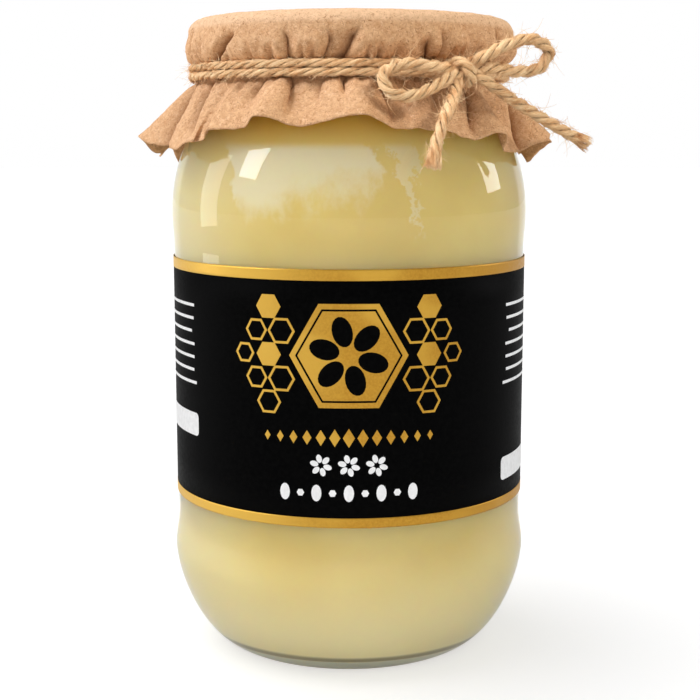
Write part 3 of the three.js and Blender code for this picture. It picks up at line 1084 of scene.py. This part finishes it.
def maths(tree, operation, *values):
    node = add(tree, "ShaderNodeMath", operation=operation)
    for value, socket in zip(values, node.inputs):
        link(tree, value, socket)
    return node.outputs[0]


def both(tree, first, second):
    return maths(tree, "MULTIPLY", first, second)


def added(tree, value, other, factor):
    """A value plus another times a factor."""
    return maths(tree, "MULTIPLY_ADD", other, factor, value)


def distance_to(tree, value, level):
    return maths(tree, "ABSOLUTE", maths(tree, "SUBTRACT", value, level))


def band(tree, value, middle, half):
    """A mask that is one within half a width of the middle, with a soft end."""
    return stretch(tree, distance_to(tree, value, middle), half * 0.9, half, 1, 0)


def parts_of(tree, vector):
    """A vector's X, Y and Z, by name."""
    node = add(tree, "ShaderNodeSeparateXYZ")
    link(tree, vector, node.inputs["Vector"])
    return node.outputs


def stretch(tree, value, low, high, to_low=0, to_high=1):
    node = add(tree, "ShaderNodeMapRange", interpolation_type="SMOOTHSTEP")
    link(tree, value, node.inputs["Value"])
    for name, number in (("From Min", low), ("From Max", high), ("To Min", to_low), ("To Max", to_high)):
        node.inputs[name].default_value = number
    return node.outputs["Result"]


def noise_at(tree, coords, scale, detail=3, roughness=0.5, distortion=0):
    node = add(tree, "ShaderNodeTexNoise", Scale=scale, Detail=detail)
    set_values(node, Roughness=roughness, Distortion=distortion)
    link(tree, coords, node.inputs["Vector"])
    return node.outputs["Fac"]


def mapped(tree, coords, scale):
    node = add(tree, "ShaderNodeMapping", Scale=scale)
    link(tree, coords, node.inputs["Vector"])
    return node.outputs["Vector"]


def object_coords(tree):
    return add(tree, "ShaderNodeTexCoord").outputs["Object"]


def uv_coords(tree, name):
    return add(tree, "ShaderNodeUVMap", uv_map=name).outputs["UV"]


def bump(tree, shader, height, strength, distance):
    node = add(tree, "ShaderNodeBump", Strength=strength, Distance=distance)
    link(tree, height, node.inputs["Height"])
    link(tree, node.outputs["Normal"], shader.inputs["Normal"])


def grain_group():
    """Fine grain of the printed label, for its black, its gold and its white."""
    group = bpy.data.node_groups.new("print_grain", "ShaderNodeTree")
    group.interface.new_socket("Coordinates", in_out="INPUT", socket_type="NodeSocketVector")
    group.interface.new_socket("Scale", in_out="INPUT", socket_type="NodeSocketFloat")
    group.interface.new_socket("Grain", in_out="OUTPUT", socket_type="NodeSocketFloat")
    given = group.nodes.new("NodeGroupInput")
    result = group.nodes.new("NodeGroupOutput")
    grain = add(group, "ShaderNodeTexNoise", Detail=3, Roughness=0.55)
    link(group, given.outputs["Coordinates"], grain.inputs["Vector"])
    link(group, given.outputs["Scale"], grain.inputs["Scale"])
    link(group, stretch(group, grain.outputs["Fac"], 0.3, 0.7), result.inputs["Grain"])
    return group


def print_grain(tree, coords, scale):
    node = add(tree, "ShaderNodeGroup", node_tree=PRINT_GRAIN)
    link(tree, scale, node.inputs["Scale"])
    link(tree, coords, node.inputs["Coordinates"])
    return node.outputs["Grain"]


# How much of a noise's range a fibre of the paper takes
FIBRE_BAND = 0.022
# Heights on the honey in metres, as its finish reads them
HONEY_Z = dict(
    floor=(0.00472, 0.00478), rim_low=(0.00475, 0.0049), rim_high=(0.0054, 0.0064), heel=(0.012, 0.04),
    shade=0.1395, shade_full=0.147,
)


# Finishes

def glass_material():
    """Clear glass, greener in its base, with painted dark brown at the foot; it throws no shadow of its own.
    """
    material, tree, shader = new_material("clear_glass")
    set_values(shader, Roughness=0.015, IOR=1.5, Transmission_Weight=1)
    coords = object_coords(tree)
    height = parts_of(tree, coords)["Z"]
    base = stretch(tree, height, 0.004, 0.007, 1, 0)
    # Painted dark brown at the foot, for the honey mirrored there and the shade where the glass meets the
    # floor
    foot = stretch(tree, height, 0.0006, 0.0022, 1, 0)
    tint = mix_colour(tree, base, (0.975, 0.985, 0.965, 1), (0.9, 0.95, 0.9, 1))
    tint = mix_colour(tree, foot, tint, (0.3, 0.2, 0.08, 1))
    link(tree, tint, shader.inputs["Base Color"])
    wave = noise_at(tree, mapped(tree, coords, (1, 1, 0.35)), 60, 1)
    bump(tree, shader, wave, 0.06, 0.001)
    clear = add(tree, "ShaderNodeBsdfTransparent")
    path = add(tree, "ShaderNodeLightPath")
    mix = add(tree, "ShaderNodeMixShader")
    link(tree, path.outputs["Is Shadow Ray"], mix.inputs["Fac"])
    link(tree, shader.outputs["BSDF"], mix.inputs[1])
    link(tree, clear.outputs["BSDF"], mix.inputs[2])
    link(tree, mix.outputs["Shader"], tree.nodes["Material Output"].inputs["Surface"])
    return material


def honey_painted_reflection(tree, coords, place):
    """A mask of the pale patches of a painted window reflection near the shoulder's front, ragged where the
    set honey breaks it up: a wide one and a narrow leaning streak.
    """
    height = place["Z"]
    edges = noise_at(tree, mapped(tree, coords, (1, 1, 0.7)), 55, 6, 0.62)
    above = stretch(tree, added(tree, height, edges, 0.036), 0.141, 0.1492)
    across = added(tree, place["X"], edges, 0.03)
    wide = both(tree, above, band(tree, across, 0.003, 0.017))
    ragged = noise_at(tree, coords, 230, 5, 0.7)
    leaning = added(tree, added(tree, place["X"], height, 0.2), ragged, 0.016)
    narrowing = added(tree, distance_to(tree, leaning, 0.049), height, -0.14)
    streak = stretch(tree, narrowing, -0.0172, -0.016, 0.7, 0)
    below = stretch(tree, height, HONEY_Z["shade"], 0.142, 1, 0)
    front = stretch(tree, place["Y"], -0.01, 0, 1, 0)
    return both(tree, both(tree, front, below), added(tree, wide, streak, 1))


def honey_material():
    """Set honey: cloudy, with painted light at the heel and the left, a painted window reflection at the
    shoulder, painted shade under the cover, a painted dark rim line and a painted pale underside.
    """
    material, tree, shader = new_material("creamed_honey")
    coords = object_coords(tree)
    place = parts_of(tree, coords)
    height = place["Z"]
    z = HONEY_Z
    cloud = stretch(tree, noise_at(tree, coords, 22, 3), 0.35, 0.68)
    tone = mix_colour(tree, cloud, linear(232, 206, 120), linear(241, 219, 140))
    # Painted dark line at the honey's bottom rim, standing in for the glass's refraction there
    painted_dark_rim = both(tree, stretch(tree, height, *z["rim_low"]), stretch(tree, height, *z["rim_high"], 0.8, 0))
    for mask, colour in (
        # Painted light: paler towards the heel, as the light from the floor would make it
        (stretch(tree, height, *z["heel"], 0.9, 0), linear(240, 227, 177)),
        # Painted light: paler towards the left, the side the light comes from
        (stretch(tree, place["X"], -0.046, -0.018, 0.7, 0), linear(239, 226, 176)),
        # Painted reflection of a window near the shoulder's front
        (honey_painted_reflection(tree, coords, place), linear(244, 232, 194)),
        # Painted shade under the cover: deeper amber near the top
        (stretch(tree, height, z["shade"], z["shade_full"], 0, 0.85), linear(226, 178, 70)),
        (painted_dark_rim, linear(96, 84, 36)),
        # Painted light: the honey's underside is a pale grey-green, as the lit glass base in front of it
        # would look
        (stretch(tree, height, *z["floor"], 1, 0), linear(216, 217, 196)),
    ):
        tone = mix_colour(tree, mask, tone, colour)
    link(tree, tone, shader.inputs["Base Color"])
    set_values(shader, Roughness=0.45, Subsurface_Weight=0.9)
    set_values(shader, Subsurface_Radius=(1.0, 0.8, 0.4), Subsurface_Scale=0.02)
    return material


def label_black_material():
    material, tree, shader = new_material("label_black")
    grain = print_grain(tree, object_coords(tree), 900)
    tone = mix_colour(tree, grain, (0.0012, 0.0012, 0.0013, 1), (0.0024, 0.0024, 0.0024, 1))
    link(tree, tone, shader.inputs["Base Color"])
    link(tree, stretch(tree, grain, 0, 1, 0.45, 0.52), shader.inputs["Roughness"])
    set_values(shader, Specular_IOR_Level=0.015)
    bump(tree, shader, grain, 0.05, 0.0002)
    return material


def gold_material():
    """Gold foil with painted soft glints, painted light towards the left and painted shade towards the right.
    """
    material, tree, shader = new_material("gold_foil")
    coords = object_coords(tree)
    across = parts_of(tree, coords)["X"]
    grain = print_grain(tree, coords, 1500)
    painted_glint = stretch(tree, noise_at(tree, mapped(tree, coords, (1, 1, 1.6)), 42, 1), 0.42, 0.62)
    tone = mix_colour(tree, grain, linear(196, 141, 38), linear(212, 160, 52))
    for mask, colour in (
        # Painted highlights: soft glints
        (both(tree, painted_glint, painted_glint), linear(222, 172, 62)),
        # Painted light towards the left
        (stretch(tree, across, -0.03, 0.002, 0.95, 0), linear(240, 192, 80)),
        # Painted shade towards the right
        (stretch(tree, across, 0.015, 0.05, 0, 0.7), linear(188, 136, 34)),
    ):
        tone = mix_colour(tree, mask, tone, colour)
    link(tree, tone, shader.inputs["Base Color"])
    link(tree, stretch(tree, grain, 0, 1, 0.36, 0.52), shader.inputs["Roughness"])
    set_values(shader, Metallic=0.6)
    bump(tree, shader, grain, 0.05, 0.0002)
    return material


def white_ink_material():
    material, tree, shader = new_material("white_ink")
    grain = print_grain(tree, object_coords(tree), 700)
    tone = mix_colour(tree, grain, linear(238, 238, 238), linear(250, 250, 250))
    link(tree, tone, shader.inputs["Base Color"])
    set_values(shader, Roughness=0.45)
    return material


def thin_lines(tree, value, level, width):
    """A mask of thin curly lines where a noise passes a level, like fibres in paper."""
    return stretch(tree, distance_to(tree, value, level), 0, width, 1, 0)


def paper_fibres(tree, coords, offset, size, width):
    """A mask of thin curly fibres, broken into short pieces."""
    place = add(tree, "ShaderNodeMapping", Location=offset)
    link(tree, coords, place.inputs["Vector"])
    moved = place.outputs["Vector"]
    lines = thin_lines(tree, noise_at(tree, moved, size, 1, 0.5, 1.0), 0.5, width)
    return both(tree, lines, stretch(tree, noise_at(tree, moved, size * 1.7, 1), 0.48, 0.56))


def paper_material():
    """Kraft paper: cloudy, with painted light round the top's edge, with fibres and specks, and painted shade
    in its creases.
    """
    material, tree, shader = new_material("kraft_paper")
    coords = mapped(tree, object_coords(tree), (1000, 1000, 1000))
    cloud = stretch(tree, noise_at(tree, coords, 0.7, 4, 0.7), 0.3, 0.7)
    tone = mix_colour(tree, cloud, linear(192, 141, 95), linear(219, 172, 126))
    from_axis = add(tree, "ShaderNodeVectorMath", operation="LENGTH")
    link(tree, mapped(tree, coords, (1, 1, 0)), from_axis.inputs[0])
    # Painted light: the paper is lighter round the rounded edge of the top, as the light from above would
    # make it
    high = stretch(tree, parts_of(tree, coords)["Z"], 170.6, 173)
    bend = both(tree, high, stretch(tree, from_axis.outputs["Value"], 36, 43))
    tone = mix_colour(tree, stretch(tree, bend, 0, 1, 0.1, 0.55), tone, linear(236, 199, 160))
    light, dark = linear(232, 190, 150), linear(166, 116, 75)
    for offset, size, colour in (
        ((0, 0, 0), 0.5, light), ((31, 7, 3), 0.62, light),
        ((13, 11, 61), 0.6, dark), ((5, 43, 17), 0.72, dark),
    ):
        tone = mix_colour(tree, paper_fibres(tree, coords, offset, size, FIBRE_BAND), tone, colour)
    specks = stretch(tree, noise_at(tree, coords, 2.6, 2, 0.5), 0.6, 0.68, 0, 0.4)
    tone = mix_colour(tree, specks, tone, linear(152, 104, 63))
    # Painted shade: the deeper a crease, the darker the paper, as shade would fall in it
    depth = add(tree, "ShaderNodeAttribute", attribute_name="crease_depth").outputs["Fac"]
    tone = mix_colour(tree, stretch(tree, depth, 0.2, 3.6, 0, 0.9), tone, linear(122, 72, 34))
    tone = mix_colour(tree, stretch(tree, depth, 2.6, 4.6, 0, 0.75), tone, linear(86, 46, 18))
    link(tree, tone, shader.inputs["Base Color"])
    set_values(shader, Roughness=0.9, Specular_IOR_Level=0.15)
    bump(tree, shader, noise_at(tree, coords, 0.42, 7, 0.68, 0.8), 0.6, 0.0009)
    return material


def twine_material():
    """Jute: streaks along the plies, paler clouds and broken painted shade in the grooves between the plies.
    """
    material, tree, shader = new_material("jute")
    coords = uv_coords(tree, "strand")
    streak = noise_at(tree, mapped(tree, coords, (0.2, 3.2, 1)), 1.6, 4, 0.7)
    cloud = noise_at(tree, mapped(tree, coords, (0.12, 0.1, 1)), 1, 2)
    broken = noise_at(tree, mapped(tree, coords, (0.7, 0.4, 1)), 1, 3, 0.6)
    tone = mix_colour(tree, stretch(tree, streak, 0.34, 0.62), linear(222, 154, 96), linear(255, 224, 172))
    tone = mix_colour(tree, stretch(tree, cloud, 0.4, 0.7, 0, 0.35), tone, linear(255, 232, 190))
    # Painted shade: darker on the inner sides of the plies, where they meet in the grooves
    inward = maths(tree, "MODULO", parts_of(tree, coords)["Y"], STRAND_ROOM)
    deep = stretch(tree, inward, 3.2, 5.0, 0, 0.8)
    painted_groove_shade = both(tree, deep, stretch(tree, broken, 0.4, 0.6, 0.05, 1))
    tone = mix_colour(tree, painted_groove_shade, tone, linear(116, 68, 32))
    link(tree, tone, shader.inputs["Base Color"])
    set_values(shader, Roughness=0.85, Specular_IOR_Level=0.2)
    bump(tree, shader, streak, 0.8, 0.0005)
    return material


def fibre_material():
    material, tree, shader = new_material("jute_fibre")
    cloud = stretch(tree, noise_at(tree, object_coords(tree), 300, 1), 0.35, 0.65)
    tone = mix_colour(tree, cloud, linear(222, 170, 116), linear(252, 218, 170))
    link(tree, tone, shader.inputs["Base Color"])
    set_values(shader, Roughness=0.8)
    return material


def floor_material():
    """Plain white; it glows for the camera, so that the shadow is faint, and less where it lights the jar."""
    material, tree, shader = new_material("pale_floor")
    coords = object_coords(tree)
    tone = mix_colour(tree, noise_at(tree, coords, 6, 2), (0.5, 0.5, 0.5, 1), (0.53, 0.53, 0.53, 1))
    link(tree, tone, shader.inputs["Base Color"])
    set_values(shader, Roughness=0.8, Emission_Color=(1, 1, 1, 1))
    away = add(tree, "ShaderNodeVectorMath", operation="NORMALIZE")
    link(tree, coords, away.inputs[0])
    path = add(tree, "ShaderNodeLightPath")
    glow = pick(tree, path.outputs["Is Transmission Ray"], 0.45, 0.6)
    glow = pick(tree, path.outputs["Is Glossy Ray"], glow, backdrop(tree, away.outputs["Vector"], 0.3, 0.6))
    glow = pick(tree, path.outputs["Is Camera Ray"], glow, 0.6)
    link(tree, glow, shader.inputs["Emission Strength"])
    return material


def backdrop(tree, direction, side, behind):
    """A value that is higher straight behind the jar than towards the sides."""
    return stretch(tree, parts_of(tree, direction)["Y"], 0.74, 0.82, side, behind)


# Lamps of the cover: name, direction of travel, energy, spread in degrees and colour
COVER_LAMPS = [
    ("cover_left", (0.83, 0.13, -0.55), 3.0, 10, (0.96, 1.03, 1.2)),
    ("cover_right", (-0.7, 0.3, -0.65), 1.6, 20, (1, 1, 1)),
    ("cover_top", (0, 0, -1), 0.65, 30, (1, 1, 1)),
]
# Lights that only mirror in the glass: name, place and size in metres, and power
WINDOWS = [
    ("strip_left", (-1.0, 0.14, 0.25), (0.3, 1.2), 2.6),
    ("window_left", (-0.86, -0.33, 0.7), (0.26, 0.5), 3.2),
    ("window_right", (0.98, 0.26, 0.5), (0.3, 0.5), 2.4),
]


# Stage

def make_camera():
    data = bpy.data.cameras.new("photo_camera")
    data.lens = CAMERA["lens"]
    data.sensor_width = CAMERA["sensor"]
    data.clip_start = 0.01
    camera = bpy.data.objects.new("photo_camera", data)
    camera.location = mm(*CAMERA["place"])
    camera.rotation_euler = (math.radians(90 - CAMERA["down_deg"]), 0, 0)
    bpy.context.scene.collection.objects.link(camera)
    bpy.context.scene.camera = camera


def make_floor():
    deselect()
    bpy.ops.mesh.primitive_circle_add(vertices=96, radius=6, fill_type="NGON")
    floor = bpy.context.object
    floor.name = "floor"
    floor.data.materials.append(floor_material())


def softbox(name, place, size, power, target=(0, 0, 0.09)):
    data = bpy.data.lights.new(name, "AREA")
    data.shape = "RECTANGLE"
    data.size, data.size_y = size
    data.energy = power
    lamp = bpy.data.objects.new(name, data)
    lamp.location = place
    lamp.rotation_euler = (Vector(target) - Vector(place)).to_track_quat("-Z", "Y").to_euler()
    bpy.context.scene.collection.objects.link(lamp)
    return lamp


def make_world():
    """A white studio: the camera sees it white, the glass mirrors a bright backdrop and dimmer sides."""
    world = bpy.data.worlds.new("studio")
    world.use_nodes = True
    tree = world.node_tree
    direction = add(tree, "ShaderNodeTexCoord").outputs["Generated"]
    path = add(tree, "ShaderNodeLightPath")
    mirrored = backdrop(tree, direction, 0.45, 1.0)
    light = pick(tree, path.outputs["Is Glossy Ray"], 0.4, mirrored)
    light = pick(tree, path.outputs["Is Transmission Ray"], light, mirrored)
    light = pick(tree, path.outputs["Is Camera Ray"], light, 1.0)
    background = tree.nodes["Background"]
    background.inputs["Color"].default_value = (1, 1, 1, 1)
    link(tree, light, background.inputs["Strength"])
    bpy.context.scene.world = world


def distant_lamp(name, travel, energy, spread, colour=(1, 1, 1)):
    data = bpy.data.lights.new(name, "SUN")
    data.energy = energy
    data.color = colour
    data.angle = math.radians(spread)
    lamp = bpy.data.objects.new(name, data)
    lamp.rotation_euler = Vector(travel).to_track_quat("-Z", "Y").to_euler()
    lamp.visible_glossy = False
    bpy.context.scene.collection.objects.link(lamp)
    return lamp


def light_pieces(lamp, pieces, state):
    """Lets a lamp light only these pieces, or all but these."""
    group = bpy.data.collections.new(lamp.name + "_pieces")
    for piece in pieces:
        group.objects.link(piece)
    for entry in group.collection_objects:
        entry.light_linking.link_state = state
    lamp.light_linking.receiver_collection = group


def make_light(paper, twine):
    """Even light and mirrored windows for the jar; harder light for the cover, so that its relief shows."""
    cover = [paper] + twine
    light_pieces(distant_lamp("twine_key", (0.35, 0.6, -0.72), 1.4, 8), twine, "INCLUDE")
    for lamp in COVER_LAMPS:
        light_pieces(distant_lamp(*lamp), cover, "INCLUDE")
    key = distant_lamp("soft_key", (0.3, -0.1, -0.95), 1.9, 40)
    fill = softbox("fill_front", (0.15, -1.3, 0.08), (1.2, 0.5), 6)
    fill.visible_glossy = False
    for lamp in (key, fill):
        light_pieces(lamp, cover, "EXCLUDE")
    for window in WINDOWS:
        softbox(*window).visible_diffuse = False
    bpy.context.scene.view_settings.view_transform = "Standard"


# Making

make_camera()
PRINT_GRAIN = grain_group()
twine = make_twine()
JAR = make_jar()
make_honey()
gold_foil = make_label()
make_print(gold_foil)
paper = make_paper()
make_floor()
make_world()
make_light(paper, twine)
